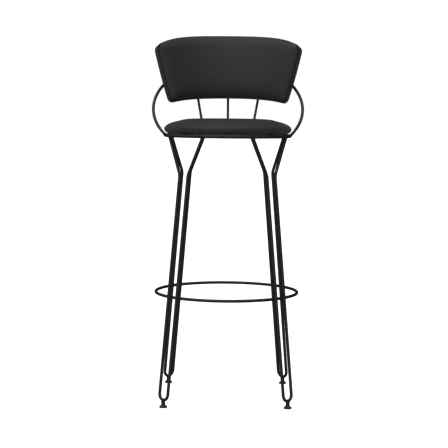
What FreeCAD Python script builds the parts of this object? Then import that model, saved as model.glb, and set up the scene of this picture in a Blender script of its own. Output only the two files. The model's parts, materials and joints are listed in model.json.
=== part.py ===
import FreeCAD, Part
import math
import os

from FreeCAD import Vector

# A bar stool: four hairpin legs on screw feet carry a round seat ring and a foot ring.  One
# rod bent into a tilted loop makes both arms and the back rail, three spindles prop that
# rail, and a curved padded backrest is screwed to its front.
# Millimetres, +Z up, front towards -Y, left is -X (as seen by someone facing the stool).
# Everything is built about the seat's own upright axis and then shifted along Y, so that
# the origin is on the floor at the middle of the stool's outline.

# ---------------------------------------------------------------- driving dimensions
# Rods
FRAME_ROD = 8.5            # legs, foot ring, arm loop
SEAT_RING_ROD = 10.0
SPINDLE_ROD = 7.0
WELD_BITE = 0.4            # how far a rod that lies against another is pressed into it

# Seat
SEAT_HEIGHT = 750.0        # crown of the cushion above the floor
SEAT_RING_RADIUS = 166.5   # centre line
CUSHION_HEIGHT = 40.0      # top of the ring to the crown
CUSHION_OVERHANG = 4.5     # widest part of the cushion beyond the ring's centre line
CUSHION_EDGE_RISE = 12.5   # height of the widest part above the ring
CUSHION_UNDERCUT = 13.0    # how far the flat underside stops short of the widest part
CROWN_FULLNESS = 0.72      # how far the crown stays flat, as a share of the radius
EDGE_FULLNESS = 0.62       # how far the edge stays upright, as a share of its rise
COVER_THICKNESS = 1.5
SEAT_BOARD_THICKNESS = 10.0
SEAT_BOARD_INSET = 17.0    # board edge inside the widest part of the cushion
COVER_TURN_UNDER = 18.0    # width of cover folded under the board
CROSS_WIDTH = 24.0
CROSS_THICKNESS = 4.0
SEAT_SCREW_RADIUS = 90.0   # screw circle

# Legs
LEG_SPREAD_ANGLE = 22.5    # each rod's top, to either side of its leg's middle
NECK_DROP = 101.5          # ring centre line down to the neck bend
NECK_INSET = 6.0           # neck inside the ring's centre line
NECK_BEND_RADIUS = 32.0
HAIRPIN_SPACING = 31.0     # centre to centre of a leg's two rods
FOOT_SPLAY = 62.5          # foot outside the seat ring's centre line
FOOT_RING_HEIGHT = 284.5

# Screw feet
PAD_DIAMETER = 21.0
PAD_RIM_HEIGHT = 3.5
PAD_CONE_HEIGHT = 4.0
PAD_TOP_DIAMETER = 12.0
PAD_SOLE_THICKNESS = 2.0
BOSS_DIAMETER = 11.0
BOSS_DROP = 7.5            # boss below the underside of the rod
BOSS_WRAP = 3.0            # boss up the sides of the rod
STUD_DIAMETER = 6.0
STUD_HEAD_DIAMETER = 8.6
STUD_HEAD_HEIGHT = 2.2
PAD_GAP = 0.8              # pad to boss with the foot screwed right in
RUNNING_CLEARANCE = 0.05   # radial, stud in boss and head in pad
END_CLEARANCE = 0.3        # axial

# Arm loop, back rail and spindles
ARM_BULGE = 38.0           # loop radius beyond the seat ring's
ARM_TILT = 39.5            # loop's plane above level, degrees
SPINDLE_ANGLE = 22.5       # outer spindles' feet from the middle one, degrees
SPINDLE_OUTSET = 6.0       # spindle foot outside the ring's centre line
SPINDLE_TAIL = 2.0         # spindle below the ring's centre line
SPINDLE_TOP_SPACING = 101.0

# Backrest, in its own plane: across, and up and down from the level of the rail
BACK_TILT = 21.0           # degrees from upright
BACK_TOP_HALF_WIDTH = 209.5
BACK_BOTTOM_HALF_WIDTH = 166.0
BACK_TOP_RISE = 65.5       # rail up to the top edge, middle
BACK_BOTTOM_DROP = 115.5   # rail down to the bottom edge, middle
BACK_TOP_ARCH = 60.0       # top edge's middle above its corners
BACK_BOTTOM_ARCH = 35.0    # bottom edge's middle above its corners
BACK_TOP_CORNER = 16.0     # corner radii
BACK_BOTTOM_CORNER = 14.0
BACK_EDGE_THICKNESS = 20.0
BACK_CROWN = 16.0          # padding's extra depth in the middle
BACK_BOARD_THICKNESS = 9.0
BACK_CLEARANCE = 0.5       # frame rods to the rear cover
WELT_WIDTH = 3.6
WELT_STAND = 1.4           # welt beyond the covers
TAB_WIDTH = 26.0
TAB_HEIGHT = 38.0
TAB_OFFSET = 8.0           # tab's middle above the rail
TAB_POSITION = 132.0       # to either side of the middle
INNER_TAB_POSITION = 52.0
TAB_SCREW_RISE = 16.0      # screw above the rail
TAB_THICKNESS = 3.0

# M6 fasteners
SCREW_DIAMETER = 5.9
SCREW_HEAD_DIAMETER = 12.0
SCREW_HEAD_HEIGHT = 3.5
SCREW_HOLE = 6.6
TEE_BARREL_DIAMETER = 7.8
TEE_BORE = 6.0
TEE_FLANGE_DIAMETER = 19.0
TEE_FLANGE_THICKNESS = 1.4
SCREW_SHORT_OF_FACE = 1.0  # screw's point below the far face of its board
TEE_SINK = 0.3             # flange let into the curved face of the backrest board

# ---------------------------------------------------------------- derived dimensions
SEAT_RING_Z = SEAT_HEIGHT - CUSHION_HEIGHT - SEAT_RING_ROD / 2
SEAT_RING_TOP = SEAT_RING_Z + SEAT_RING_ROD / 2
CUSHION_RADIUS = SEAT_RING_RADIUS + CUSHION_OVERHANG
SEAT_BOARD_Z = SEAT_RING_TOP + COVER_THICKNESS

PAD_HEIGHT = PAD_RIM_HEIGHT + PAD_CONE_HEIGHT
BOSS_Z = PAD_HEIGHT + PAD_GAP
FOOT_ROD_Z = BOSS_Z + BOSS_DROP + FRAME_ROD / 2
FOOT_RADIUS = SEAT_RING_RADIUS + FOOT_SPLAY
NECK_RADIUS = SEAT_RING_RADIUS - NECK_INSET
NECK_Z = SEAT_RING_Z - NECK_DROP
LEG_SLOPE = (FOOT_RADIUS - NECK_RADIUS) / (NECK_Z - FOOT_ROD_Z)
ROD_TOUCH = FRAME_ROD - WELD_BITE

ARM_RADIUS = SEAT_RING_RADIUS + ARM_BULGE
ARM_CENTRE = math.sqrt(ARM_RADIUS ** 2 - SEAT_RING_RADIUS ** 2)
TILT = math.radians(ARM_TILT)
RECLINE = math.radians(BACK_TILT)

LEG_ANGLES = {"front_left": 225, "front_right": 315, "rear_right": 45, "rear_left": 135}
SPINDLE_SIDES = {"left": -1, "centre": 0, "right": 1}
UP = Vector(0, 0, 1)
BIG = 1000.0               # longer than any piece of the backrest


# ---------------------------------------------------------------- shared shapes
def polar(radius, angle, z):
    """A point at a radius and an angle in degrees about the seat's axis."""
    a = math.radians(angle)
    return Vector(radius * math.cos(a), radius * math.sin(a), z)


def cylinder(diameter, start, end):
    """A round bar between two points."""
    axis = end - start
    return Part.makeCylinder(diameter / 2, axis.Length, start, axis)


def bent_rod(diameter, points, radii):
    """One rod through the points, bent to a radius at each inner point."""
    edges = []
    here = points[0]
    for i, radius in enumerate(radii, start=1):
        come = (points[i] - points[i - 1]).normalize()
        leave = (points[i + 1] - points[i]).normalize()
        half_turn = come.getAngle(leave) / 2
        setback = radius * math.tan(half_turn)
        start = points[i] - come * setback
        end = points[i] + leave * setback
        inward = (leave - come).normalize()
        middle = points[i] + inward * (radius / math.cos(half_turn) - radius)
        if (start - here).Length > 1e-6:
            edges.append(Part.LineSegment(here, start).toShape())
        edges.append(Part.Arc(start, middle, end).toShape())
        here = end
    edges.append(Part.LineSegment(here, points[-1]).toShape())
    first = points[1] - points[0]
    section = Part.Wire(Part.Circle(points[0], first, diameter / 2).toShape())
    return Part.Wire(edges).makePipeShell([section], True, False)


def revolved(edges):
    """A solid of revolution about the seat's axis from a closed outline in XZ."""
    return Part.Face(Part.Wire(edges)).revolve(Vector(0, 0, 0), UP, 360)


def line(p, q):
    return Part.LineSegment(p, q).toShape()


def bezier(*poles):
    curve = Part.BezierCurve()
    curve.setPoles(list(poles))
    return curve.toShape()


# ---------------------------------------------------------------- seat frame
def seat_ring():
    return Part.makeTorus(SEAT_RING_RADIUS, SEAT_RING_ROD / 2, Vector(0, 0, SEAT_RING_Z), UP)


def seat_screw_places():
    return [polar(SEAT_SCREW_RADIUS, angle, 0) for angle in LEG_ANGLES.values()]


def seat_mounting_cross(ring):
    """Two flat bars crossed inside the seat ring, drilled for the seat's screws."""
    top = SEAT_RING_TOP
    bar = Part.makeBox(2 * SEAT_RING_RADIUS, CROSS_WIDTH, CROSS_THICKNESS,
                       Vector(-SEAT_RING_RADIUS, -CROSS_WIDTH / 2, top - CROSS_THICKNESS))
    reach = Part.makeCylinder(SEAT_RING_RADIUS - SEAT_RING_ROD / 4, BIG)
    bars = []
    for angle in (45, 135):
        turned = bar.copy()
        turned.rotate(Vector(0, 0, 0), UP, angle)
        bars.append(turned)
    cross = bars[0].fuse(bars[1]).removeSplitter()
    for place in seat_screw_places():
        cross = cross.cut(cylinder(SCREW_HOLE, place + UP * (top - 2 * CROSS_THICKNESS),
                                   place + UP * (top + CROSS_THICKNESS)))
    return cross.common(reach).cut(ring)


# ---------------------------------------------------------------- seat
def cushion_form(inset):
    """The cushion's outer form, or the same form a distance inside it."""
    low = SEAT_RING_TOP + inset
    wide = CUSHION_RADIUS - inset
    wide_z = SEAT_RING_TOP + CUSHION_EDGE_RISE
    crown = SEAT_HEIGHT - inset
    flat = CUSHION_RADIUS - CUSHION_UNDERCUT
    corner = Vector(flat, 0, low)
    side = Vector(wide, 0, wide_z)
    middle = Vector(0, 0, crown)
    under = bezier(corner, Vector((flat + wide) / 2, 0, low),
                   Vector(wide, 0, (low + wide_z) / 2), side)
    dome = bezier(side, Vector(wide, 0, wide_z + EDGE_FULLNESS * (crown - wide_z)),
                  Vector(CROWN_FULLNESS * wide, 0, crown), middle)
    base = Vector(0, 0, low)
    return revolved([line(base, corner), under, dome, line(middle, base)])


def seat_board():
    radius = CUSHION_RADIUS - SEAT_BOARD_INSET
    board = Part.makeCylinder(radius, SEAT_BOARD_THICKNESS, Vector(0, 0, SEAT_BOARD_Z))
    for place in seat_screw_places():
        board = board.cut(cylinder(TEE_BARREL_DIAMETER, place + UP * SEAT_BOARD_Z,
                                   place + UP * (SEAT_BOARD_Z + SEAT_BOARD_THICKNESS)))
    return board


def dust_cover_radius():
    return CUSHION_RADIUS - SEAT_BOARD_INSET - COVER_TURN_UNDER


def seat_cover():
    """Leather over the cushion, with its hem folded flat under the board."""
    shell = cushion_form(0).cut(cushion_form(COVER_THICKNESS))
    opening = Part.makeCylinder(dust_cover_radius(), COVER_THICKNESS, Vector(0, 0, SEAT_RING_TOP))
    return shell.cut(opening)


def seat_dust_cover():
    cloth = Part.makeCylinder(dust_cover_radius(), COVER_THICKNESS, Vector(0, 0, SEAT_RING_TOP))
    for place in seat_screw_places():
        cloth = cloth.cut(cylinder(SCREW_HOLE, place + UP * SEAT_RING_TOP,
                                   place + UP * SEAT_BOARD_Z))
    return cloth


def seat_foam(tee_nuts):
    board_space = Part.makeCylinder(CUSHION_RADIUS - SEAT_BOARD_INSET, SEAT_BOARD_THICKNESS,
                                    Vector(0, 0, SEAT_BOARD_Z))
    recesses = [flange_space(nut) for nut in tee_nuts]
    return cushion_form(COVER_THICKNESS).cut([board_space] + recesses)


# ---------------------------------------------------------------- fasteners
def tee_nut(face, inward, depth):
    """A tee nut on a board's inner face, its barrel reaching back through the board."""
    flange = cylinder(TEE_FLANGE_DIAMETER, face, face + inward * TEE_FLANGE_THICKNESS)
    barrel = cylinder(TEE_BARREL_DIAMETER, face - inward * depth, face)
    bore = cylinder(TEE_BORE, face - inward * depth, face + inward * TEE_FLANGE_THICKNESS)
    return flange.fuse(barrel).cut(bore)


def flange_space(nut):
    """The solid disc that a tee nut's flange takes out of the padding."""
    face, inward = nut
    return cylinder(TEE_FLANGE_DIAMETER, face, face + inward * TEE_FLANGE_THICKNESS)


def pan_screw(seat, inward, length):
    """A pan head screw whose head bears on the point seat."""
    head = cylinder(SCREW_HEAD_DIAMETER, seat - inward * SCREW_HEAD_HEIGHT, seat)
    rim = [e for e in head.Edges if abs(e.CenterOfMass.sub(seat).Length - SCREW_HEAD_HEIGHT) < 0.1]
    head = head.makeFillet(SCREW_HEAD_HEIGHT * 0.6, [e for e in rim if len(e.Vertexes) == 1])
    return head.fuse(cylinder(SCREW_DIAMETER, seat, seat + inward * length))


def seat_tee_nut_places():
    z = SEAT_BOARD_Z + SEAT_BOARD_THICKNESS
    return [(place + UP * z, UP) for place in seat_screw_places()]


def seat_tee_nuts():
    depth = SEAT_BOARD_THICKNESS - SCREW_SHORT_OF_FACE
    return Part.makeCompound([tee_nut(face, up, depth) for face, up in seat_tee_nut_places()])


def seat_screws():
    seat_z = SEAT_RING_TOP - CROSS_THICKNESS
    length = CROSS_THICKNESS + COVER_THICKNESS + SEAT_BOARD_THICKNESS - SCREW_SHORT_OF_FACE
    return Part.makeCompound([pan_screw(place + UP * seat_z, UP, length)
                              for place in seat_screw_places()])


# ---------------------------------------------------------------- legs and foot ring
def leg(angle, ring):
    """One rod: down from the ring, in at the neck, round the foot and back up."""
    outward = polar(1, angle, 0)
    along = polar(1, angle + 90, 0)
    half = HAIRPIN_SPACING / 2

    def side(sign):
        top = polar(SEAT_RING_RADIUS, angle + sign * LEG_SPREAD_ANGLE, SEAT_RING_Z)
        neck = outward * NECK_RADIUS + along * (sign * half) + UP * NECK_Z
        foot = outward * FOOT_RADIUS + along * (sign * half) + UP * FOOT_ROD_Z
        return [top, neck, foot]

    points = side(-1) + side(1)[::-1]
    radii = [NECK_BEND_RADIUS, half, half, NECK_BEND_RADIUS]
    return bent_rod(FRAME_ROD, points, radii).cut(ring)


def foot_ring_radius():
    """Centre line radius at which the ring lies against the inside of the leg rods."""
    leg_radius = NECK_RADIUS + LEG_SLOPE * (NECK_Z - FOOT_RING_HEIGHT)
    rod_radius = math.hypot(leg_radius, HAIRPIN_SPACING / 2)
    return rod_radius - ROD_TOUCH * math.sqrt(1 + LEG_SLOPE ** 2)


def foot_ring(legs):
    centre = Vector(0, 0, FOOT_RING_HEIGHT)
    ring = Part.makeTorus(foot_ring_radius(), FRAME_ROD / 2, centre, UP)
    return ring.cut(legs)


# ---------------------------------------------------------------- screw feet
def foot_boss(angle, rod):
    """Threaded boss welded under a leg's bend."""
    base = polar(FOOT_RADIUS, angle, BOSS_Z)
    top = base + UP * (BOSS_DROP + BOSS_WRAP)
    bore = cylinder(STUD_DIAMETER + 2 * RUNNING_CLEARANCE, base, top)
    return cylinder(BOSS_DIAMETER, base, top).cut([bore, rod])


def foot_pad(angle):
    """Swivelling pad with a socket that holds the stud's head."""
    base = polar(FOOT_RADIUS, angle, 0)
    rim_z = base + UP * PAD_RIM_HEIGHT
    rim = cylinder(PAD_DIAMETER, base, rim_z)
    cone = Part.makeCone(PAD_DIAMETER / 2, PAD_TOP_DIAMETER / 2, PAD_CONE_HEIGHT, rim_z, UP)
    head_low = base + UP * (PAD_SOLE_THICKNESS)
    head_high = head_low + UP * (STUD_HEAD_HEIGHT + 2 * RUNNING_CLEARANCE)
    socket = cylinder(STUD_HEAD_DIAMETER + 2 * RUNNING_CLEARANCE, head_low, head_high)
    neck = cylinder(STUD_DIAMETER + 2 * RUNNING_CLEARANCE, head_high, base + UP * PAD_HEIGHT)
    return rim.fuse(cone).removeSplitter().cut([socket, neck])


def foot_stud(angle):
    base = polar(FOOT_RADIUS, angle, PAD_SOLE_THICKNESS + RUNNING_CLEARANCE)
    head_top = base + UP * STUD_HEAD_HEIGHT
    stud_top = polar(FOOT_RADIUS, angle, BOSS_Z + BOSS_DROP - END_CLEARANCE)
    head = cylinder(STUD_HEAD_DIAMETER, base, head_top)
    return head.fuse(cylinder(STUD_DIAMETER, head_top, stud_top))


# ---------------------------------------------------------------- arm loop and spindles
def loop_point(angle):
    """A point on the loop's centre line, from 0 at the right arm's widest to 90 at the rear."""
    a = math.radians(angle)
    along = ARM_CENTRE + ARM_RADIUS * math.sin(a)
    return Vector(ARM_RADIUS * math.cos(a), along * math.cos(TILT),
                  SEAT_RING_Z + along * math.sin(TILT))


def loop_angle_at(x):
    """The angle at which the rear of the loop is x to the side."""
    return math.degrees(math.acos(x / ARM_RADIUS))


def arm_loop(ring):
    """Both arms and the back rail: one rod, its ends welded to the sides of the seat ring."""
    end_angle = -math.degrees(math.asin(ARM_CENTRE / ARM_RADIUS))
    start = loop_point(end_angle)
    path = Part.Arc(start, loop_point(90), loop_point(180 - end_angle)).toShape()
    a = math.radians(end_angle)
    heading = Vector(-math.sin(a), math.cos(a) * math.cos(TILT), math.cos(a) * math.sin(TILT))
    section = Part.Wire(Part.Circle(start, heading, FRAME_ROD / 2).toShape())
    return Part.Wire(path).makePipeShell([section], True, False).cut(ring)


def spindle_line(side):
    foot = polar(SEAT_RING_RADIUS + SPINDLE_OUTSET, 90 - side * SPINDLE_ANGLE, SEAT_RING_Z)
    top = loop_point(loop_angle_at(side * SPINDLE_TOP_SPACING))
    return foot, top


def spindle(side, ring, loop):
    foot, top = spindle_line(side)
    down = (foot - top).normalize()
    return cylinder(SPINDLE_ROD, foot + down * SPINDLE_TAIL, top).cut([ring, loop])


# ---------------------------------------------------------------- backrest: place and form
# The backrest is built lying in its own axes: X across, Y up its slope, Z out of its front.
# Its rear face is a cylinder about an axis parallel to Y, and the origin of those axes is
# where that face passes in front of the middle of the rail.
class BackFrame:
    """Where the backrest's own axes stand, and the radius of its rear face."""

    def __init__(self):
        self.rail = loop_point(90)
        self.across = Vector(1, 0, 0)
        self.up = Vector(0, math.sin(RECLINE), math.cos(RECLINE))
        self.front = Vector(0, -math.cos(RECLINE), math.sin(RECLINE))
        side = self.own(loop_point(self.exit_angle()), self.rail)
        self.radius = (side.x ** 2 + side.z ** 2) / (2 * side.z)
        self.origin = self.rail + self.front * self.forward_shift()

    def own(self, point, origin):
        """A point in the backrest's own axes."""
        d = point - origin
        return Vector(d.dot(self.across), d.dot(self.up), d.dot(self.front))

    def exit_angle(self):
        """The loop angle at which the rail comes out past the backrest's side or bottom."""
        angle = 90.0
        while angle > 1:
            place = self.own(loop_point(angle), self.rail)
            if place.x - FRAME_ROD > side_half_width(place.y) or place.y < -lowest_drop():
                break
            angle -= 0.5
        return angle

    def sag(self, x):
        """How far forward the rear face has curved at x to the side."""
        return self.radius - math.sqrt(self.radius ** 2 - x ** 2)

    def forward_shift(self):
        """How far the rear face stands in front of the rail's centre line to clear the frame."""
        need = 0.0
        count = 40
        for i in range(count + 1):
            angle = self.exit_angle() + (90 - self.exit_angle()) * i / count
            place = self.own(loop_point(angle), self.rail)
            need = max(need, place.z - self.sag(place.x) + FRAME_ROD / 2)
            for side in SPINDLE_SIDES.values():
                foot, top = spindle_line(side)
                place = self.own(foot + (top - foot) * (i / count), self.rail)
                if place.y > -BACK_BOTTOM_DROP:
                    need = max(need, place.z - self.sag(place.x) + SPINDLE_ROD / 2)
        return need + BACK_CLEARANCE

    def placed(self, shape):
        """A shape moved from the backrest's own axes to its place on the stool."""
        turn = FreeCAD.Rotation(Vector(1, 0, 0), 90 - BACK_TILT)
        moved = shape.copy()
        moved.Placement = FreeCAD.Placement(self.origin, turn)
        return moved

    def on_rear_face(self, x, y, depth):
        """A point a depth into the backrest, and the way into it, in its own axes."""
        inward = Vector(-x / self.radius, 0, math.sqrt(1 - (x / self.radius) ** 2))
        return Vector(x, y, self.sag(x)) + inward * depth, inward


def side_half_width(y):
    """Half width of the backrest's outline at a height in its own axes."""
    top = BACK_TOP_RISE - BACK_TOP_ARCH
    low = -lowest_drop()
    return BACK_BOTTOM_HALF_WIDTH + (BACK_TOP_HALF_WIDTH - BACK_BOTTOM_HALF_WIDTH) * \
        (y - low) / (top - low)


def lowest_drop():
    return BACK_BOTTOM_DROP + BACK_BOTTOM_ARCH


def outline_wire(back, z, inset):
    """The backrest's outline in a plane at z, narrower towards the axis of its curve."""
    corners = []
    for half, y in ((BACK_TOP_HALF_WIDTH, BACK_TOP_RISE - BACK_TOP_ARCH),
                    (BACK_BOTTOM_HALF_WIDTH, -lowest_drop())):
        squeeze = (back.radius - z) / (back.radius - back.sag(half))
        corners.append((half * squeeze - inset, y))
    (top_x, top_y), (low_x, low_y) = corners
    top_y -= inset
    low_y += inset
    top_left = Vector(-top_x, top_y, z)
    top_right = Vector(top_x, top_y, z)
    low_left = Vector(-low_x, low_y, z)
    low_right = Vector(low_x, low_y, z)
    top_mid = Vector(0, BACK_TOP_RISE - inset, z)
    low_mid = Vector(0, -BACK_BOTTOM_DROP + inset, z)
    return Part.Wire([
        Part.Arc(top_left, top_mid, top_right).toShape(), line(top_right, low_right),
        Part.Arc(low_right, low_mid, low_left).toShape(), line(low_left, top_left)])


def outline_block(back, inset):
    """A block with the backrest's rounded outline and sides square to its curve."""
    rear, front = -BACK_EDGE_THICKNESS, back.sag(BACK_TOP_HALF_WIDTH) + 2 * BACK_EDGE_THICKNESS
    block = Part.makeLoft([outline_wire(back, rear, inset), outline_wire(back, front, inset)],
                          True, True)
    for sign, radius in ((1, BACK_TOP_CORNER), (-1, BACK_BOTTOM_CORNER)):
        corner_edges = [e for e in block.Edges if abs(e.BoundBox.ZLength - (front - rear)) < 0.1
                        and e.CenterOfMass.y * sign > 0 and e.BoundBox.XMin * e.BoundBox.XMax > 0]
        block = block.makeFillet(radius - inset, corner_edges)
    return block


def in_front_of(back, depth):
    """All that lies in front of a depth into the backrest from its rear face."""
    return Part.makeCylinder(back.radius - depth, 2 * BIG, Vector(0, -BIG, back.radius),
                             Vector(0, 1, 0))


def in_front_of_crown(back, inset):
    """All that lies in front of the padding's crowned front face."""
    edge, inward = back.on_rear_face(BACK_TOP_HALF_WIDTH, 0, BACK_EDGE_THICKNESS)
    middle = BACK_EDGE_THICKNESS + BACK_CROWN
    rise = edge.z - middle
    radius = (edge.x ** 2 + rise ** 2) / (2 * rise)
    return Part.makeCylinder(radius + inset, 2 * BIG, Vector(0, -BIG, middle + radius),
                             Vector(0, 1, 0))


def back_layer(back, inset, start, end):
    """The part of the backrest's block between two depths."""
    return outline_block(back, inset).common(in_front_of(back, start)).cut(in_front_of(back, end))


# ---------------------------------------------------------------- backrest: pieces
def back_shell(back):
    outer = outline_block(back, 0).common(in_front_of(back, 0))
    outer = outer.cut(in_front_of_crown(back, 0))
    inner = outline_block(back, COVER_THICKNESS).common(in_front_of(back, COVER_THICKNESS))
    return outer.cut(inner.cut(in_front_of_crown(back, COVER_THICKNESS)))


def seam_depth():
    return BACK_EDGE_THICKNESS - WELT_WIDTH


def backrest_rear_cover(back):
    cover = back_shell(back).cut(in_front_of(back, seam_depth()))
    holes = [cylinder(SCREW_HOLE, p - inward, p + inward * (COVER_THICKNESS + 1))
             for p, inward in back_screw_places(back, 0)]
    return cover.cut(holes)


def backrest_front_cover(back):
    return back_shell(back).common(in_front_of(back, seam_depth()))


def backrest_board(back):
    end = COVER_THICKNESS + BACK_BOARD_THICKNESS
    board = back_layer(back, COVER_THICKNESS, COVER_THICKNESS, end)
    holes = [cylinder(TEE_BARREL_DIAMETER, p - inward, p + inward * (BACK_BOARD_THICKNESS + 1))
             for p, inward in back_screw_places(back, COVER_THICKNESS)]
    return board.cut(holes + [flange_space(nut) for nut in back_screw_places(back, end - TEE_SINK)])


def backrest_foam(back):
    start = COVER_THICKNESS + BACK_BOARD_THICKNESS
    foam = outline_block(back, COVER_THICKNESS).common(in_front_of(back, start))
    foam = foam.cut(in_front_of_crown(back, COVER_THICKNESS))
    return foam.cut([flange_space(nut) for nut in back_screw_places(back, start - TEE_SINK)])


def backrest_welt(back):
    start = seam_depth() - WELT_WIDTH / 2
    band = back_layer(back, -WELT_STAND, start, start + WELT_WIDTH)
    return band.cut(outline_block(back, 0))


def tab_positions():
    return (-TAB_POSITION, -INNER_TAB_POSITION, INNER_TAB_POSITION, TAB_POSITION)


def rail_height_at(back, x):
    """Height of the rail in the backrest's own axes at x to the side."""
    return back.own(loop_point(loop_angle_at(x)), back.origin).y


def back_screw_places(back, depth):
    """Screw points at a depth into the backrest, with the way in, in its own axes."""
    return [back.on_rear_face(x, rail_height_at(back, x) + TAB_SCREW_RISE, depth)
            for x in tab_positions()]


def backrest_screws(back):
    length = TAB_THICKNESS + COVER_THICKNESS + BACK_BOARD_THICKNESS - SCREW_SHORT_OF_FACE
    return Part.makeCompound([pan_screw(place, inward, length)
                              for place, inward in back_screw_places(back, -TAB_THICKNESS)])


def backrest_tee_nuts(back):
    depth = BACK_BOARD_THICKNESS - SCREW_SHORT_OF_FACE
    start = COVER_THICKNESS + BACK_BOARD_THICKNESS - TEE_SINK
    return Part.makeCompound([tee_nut(face, inward, depth)
                              for face, inward in back_screw_places(back, start)])


def rail_tabs(back, loop):
    """Drilled tabs welded on the front of the rail, flat against the rear cover."""
    tabs = []
    for x, (screw, inward) in zip(tab_positions(), back_screw_places(back, 0)):
        middle, inward = back.on_rear_face(x, rail_height_at(back, x) + TAB_OFFSET, 0)
        rail_depth = BACK_CLEARANCE + FRAME_ROD
        block = Part.makeBox(TAB_WIDTH, TAB_HEIGHT, TAB_THICKNESS,
                             Vector(-TAB_WIDTH / 2, -TAB_HEIGHT / 2, -TAB_THICKNESS))
        lug = Part.makeBox(TAB_WIDTH, FRAME_ROD, rail_depth,
                           Vector(-TAB_WIDTH / 2, -TAB_OFFSET - FRAME_ROD / 2, -rail_depth))
        turn = FreeCAD.Rotation(Vector(0, 0, 1), inward)
        tab = block.fuse(lug).removeSplitter()
        tab.Placement = FreeCAD.Placement(middle, turn)
        tab = tab.cut(cylinder(SCREW_HOLE, screw - inward * BIG / 2, screw + inward))
        tab = tab.common(behind_rear_face(back))
        tabs.append(back.placed(tab).cut(loop))
    return Part.makeCompound(tabs)


def behind_rear_face(back):
    block = Part.makeBox(2 * BIG, 2 * BIG, BIG + BACK_TOP_HALF_WIDTH, Vector(-BIG, -BIG, -BIG))
    return block.cut(in_front_of(back, 0))


# ---------------------------------------------------------------- the whole stool
def stool():
    """Every node's shape by name, about the seat's axis."""
    ring = seat_ring()
    loop = arm_loop(ring)
    back = BackFrame()
    nodes = {"seat_ring": ring, "seat_mounting_cross": seat_mounting_cross(ring)}
    nodes["seat_board"] = seat_board()
    nodes["seat_foam"] = seat_foam(seat_tee_nut_places())
    nodes["seat_cover"] = seat_cover()
    nodes["seat_dust_cover"] = seat_dust_cover()
    nodes["seat_screws"] = seat_screws()
    nodes["seat_tee_nuts"] = seat_tee_nuts()
    legs = {corner: leg(angle, ring) for corner, angle in LEG_ANGLES.items()}
    for corner, angle in LEG_ANGLES.items():
        nodes[corner + "_leg"] = legs[corner]
        nodes[corner + "_foot_boss"] = foot_boss(angle, legs[corner])
        nodes[corner + "_foot_pad"] = foot_pad(angle)
        nodes[corner + "_foot_stud"] = foot_stud(angle)
    nodes["foot_ring"] = foot_ring(list(legs.values()))
    nodes["arm_loop"] = loop
    for name, side in SPINDLE_SIDES.items():
        nodes["back_spindle_" + name] = spindle(side, ring, loop)
    nodes["rail_tabs"] = rail_tabs(back, loop)
    for piece in (backrest_board, backrest_foam, backrest_front_cover, backrest_rear_cover,
                  backrest_welt, backrest_screws, backrest_tee_nuts):
        nodes[piece.__name__] = back.placed(piece(back))
    return nodes


def main():
    nodes = stool()
    boxes = [shape.optimalBoundingBox(False, False) for shape in nodes.values()]
    middle = (min(b.YMin for b in boxes) + max(b.YMax for b in boxes)) / 2
    os.makedirs("parts", exist_ok=True)
    for name, shape in nodes.items():
        shape.translate(Vector(0, -middle, 0))
        shape.exportStep("parts/" + name + ".step")
    print("nodes", len(nodes), "seat axis at y", round(-middle, 3),
          "foot ring radius", round(foot_ring_radius(), 3), "foot radius", FOOT_RADIUS)


main()
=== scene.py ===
"""Dresses the bar stool: padded seat and backrest, coated rods, screw feet and a plain studio."""
import sys
import json
import logging
import math
from dataclasses import dataclass
from enum import Enum
from typing import Callable, Iterable, Optional, Sequence

import bmesh
import bpy
import numpy as np
from mathutils import Matrix, Vector

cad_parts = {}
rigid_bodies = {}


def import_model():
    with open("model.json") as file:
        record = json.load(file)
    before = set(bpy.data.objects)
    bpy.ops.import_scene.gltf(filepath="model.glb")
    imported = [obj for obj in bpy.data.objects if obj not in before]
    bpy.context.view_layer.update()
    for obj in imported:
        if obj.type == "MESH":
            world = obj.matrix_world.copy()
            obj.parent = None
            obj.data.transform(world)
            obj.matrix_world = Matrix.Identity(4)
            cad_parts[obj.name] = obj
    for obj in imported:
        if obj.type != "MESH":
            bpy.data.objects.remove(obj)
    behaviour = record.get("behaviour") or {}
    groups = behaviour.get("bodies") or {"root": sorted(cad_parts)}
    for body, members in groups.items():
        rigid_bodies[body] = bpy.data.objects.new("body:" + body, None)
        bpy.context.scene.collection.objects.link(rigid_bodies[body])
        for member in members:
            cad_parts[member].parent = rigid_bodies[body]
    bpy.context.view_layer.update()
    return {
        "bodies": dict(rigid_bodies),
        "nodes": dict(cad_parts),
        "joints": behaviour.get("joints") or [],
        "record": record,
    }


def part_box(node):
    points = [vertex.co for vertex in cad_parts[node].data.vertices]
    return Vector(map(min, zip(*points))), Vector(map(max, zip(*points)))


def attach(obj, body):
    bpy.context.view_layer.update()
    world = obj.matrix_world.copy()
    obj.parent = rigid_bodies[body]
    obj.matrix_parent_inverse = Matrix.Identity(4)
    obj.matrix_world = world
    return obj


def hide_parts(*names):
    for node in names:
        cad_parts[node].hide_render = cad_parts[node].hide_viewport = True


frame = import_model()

FRAME_BODY = "frame"
CORNERS = {"front_left": 225.0, "front_right": 315.0, "rear_right": 45.0, "rear_left": 135.0}
UP = Vector((0.0, 0.0, 1.0))

Colour = tuple[float, float, float]
Faces = list[tuple[int, ...]]

log = logging.getLogger("bar_stool")


class Slot(Enum):
    """The record's material slots that the pieces take their finish from."""

    PAINT = "frame_paint"
    LEATHER = "black_leather"
    WELT = "welt_leather"
    FOAM = "padding_foam"
    PLYWOOD = "plywood"
    CLOTH = "dust_cloth"
    PLASTIC = "pad_plastic"
    ZINC = "zinc_steel"


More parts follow.
